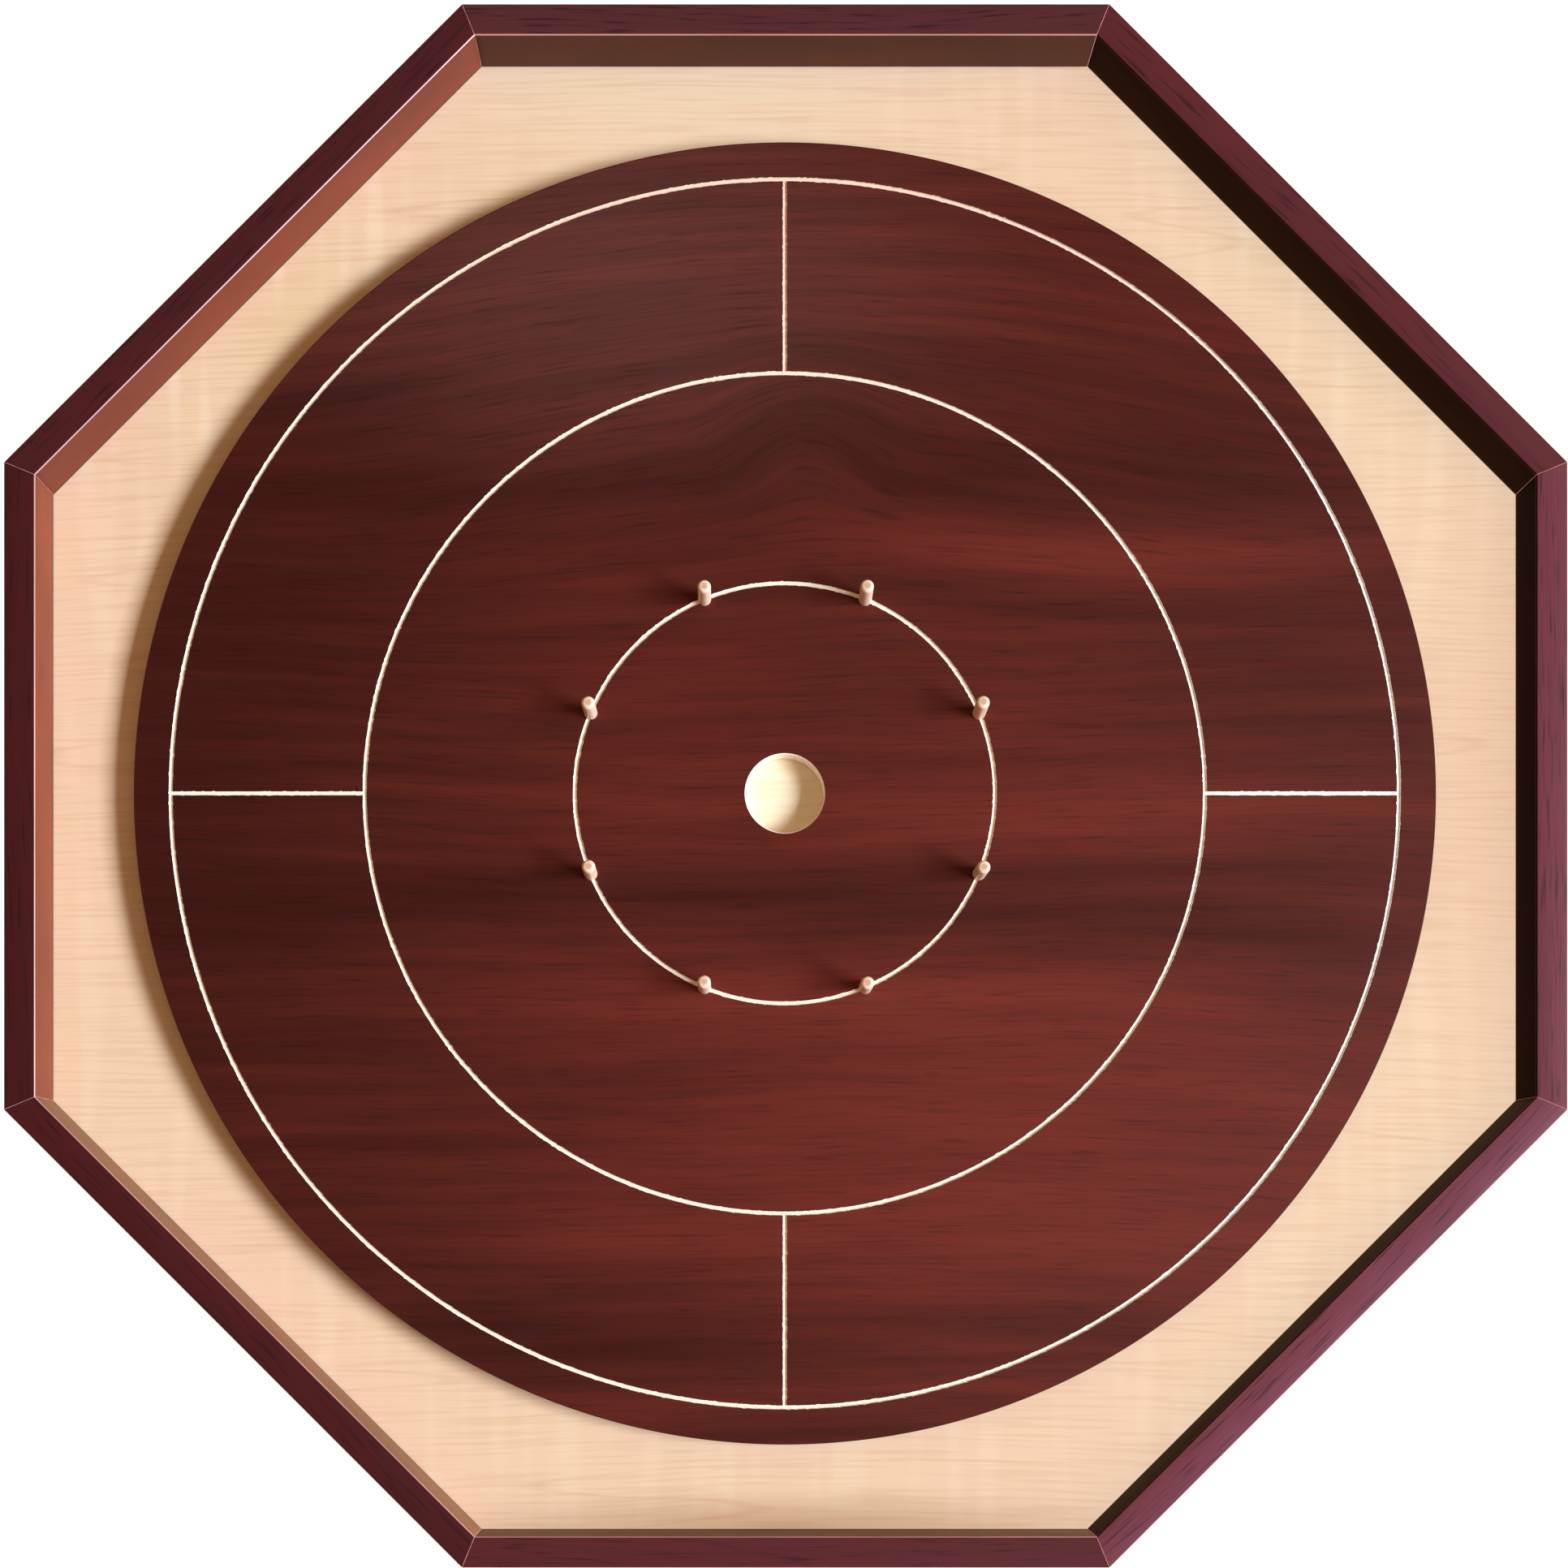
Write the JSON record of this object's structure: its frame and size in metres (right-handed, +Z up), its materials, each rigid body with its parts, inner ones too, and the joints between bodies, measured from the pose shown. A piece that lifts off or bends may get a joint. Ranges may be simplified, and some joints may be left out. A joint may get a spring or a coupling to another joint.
{
  "type": "crokinole board",
  "caption": "Octagonal flicking-game board: raised round disc with ring grooves, centre hole and upright pegs, inside a mitred rail with a ditch",
  "frame": {"origin": "on the surface the board stands on, under the middle of the board", "axes": "+Z up, out of the playing face; +X to the right of a player who sits on the -Y side; the flats of the frame face +X and +Y, and the grain of both faces runs along X"},
  "size_m": [0.744, 0.744, 0.0472],
  "materials": {
    "maple_face": "satin lacquered maple face with faint horizontal grain",
    "mahogany_face": "satin dark red mahogany-stained face, grain along X",
    "edge_band": "satin dark red band",
    "rail_wood": "glossy dark red stained wood, grain along each rail",
    "peg_wood": "satin turned maple dowel",
    "pale_core": "raw pale fibre core, bare in the grooves",
    "core_board": "raw fibreboard",
    "backing_face": "matte balancing face",
    "tongue_wood": "raw birch",
    "foot_rubber": "matte black rubber",
    "screw_steel": "zinc-plated steel"
  },
  "bodies": {
    "root": {"base_core": "core_board", "base_top_face": "maple_face", "base_bottom_face": "backing_face", "disc_core": "pale_core", "disc_backing": "backing_face", "disc_edge_band": "edge_band", "veneer_fifteen": "mahogany_face", "veneer_ten": "mahogany_face", "veneer_border": "mahogany_face", "rail_screws": "screw_steel", "disc_screws": "screw_steel", "foot_screws": "screw_steel", "veneer_five_northeast": "mahogany_face", "veneer_five_northwest": "mahogany_face", "veneer_five_southwest": "mahogany_face", "veneer_five_southeast": "mahogany_face", "rail_east": "rail_wood", "rail_northeast": "rail_wood", "rail_north": "rail_wood", "rail_northwest": "rail_wood", "rail_west": "rail_wood", "rail_southwest": "rail_wood", "rail_south": "rail_wood", "rail_southeast": "rail_wood", "mitre_tongue_1": "tongue_wood", "mitre_tongue_2": "tongue_wood", "mitre_tongue_3": "tongue_wood", "mitre_tongue_4": "tongue_wood", "mitre_tongue_5": "tongue_wood", "mitre_tongue_6": "tongue_wood", "mitre_tongue_7": "tongue_wood", "mitre_tongue_8": "tongue_wood", "peg_1": "peg_wood", "peg_2": "peg_wood", "peg_3": "peg_wood", "peg_4": "peg_wood", "peg_5": "peg_wood", "peg_6": "peg_wood", "peg_7": "peg_wood", "peg_8": "peg_wood", "foot_northeast": "foot_rubber", "foot_northwest": "foot_rubber", "foot_southwest": "foot_rubber", "foot_southeast": "foot_rubber"}
  },
  "joints": []
}
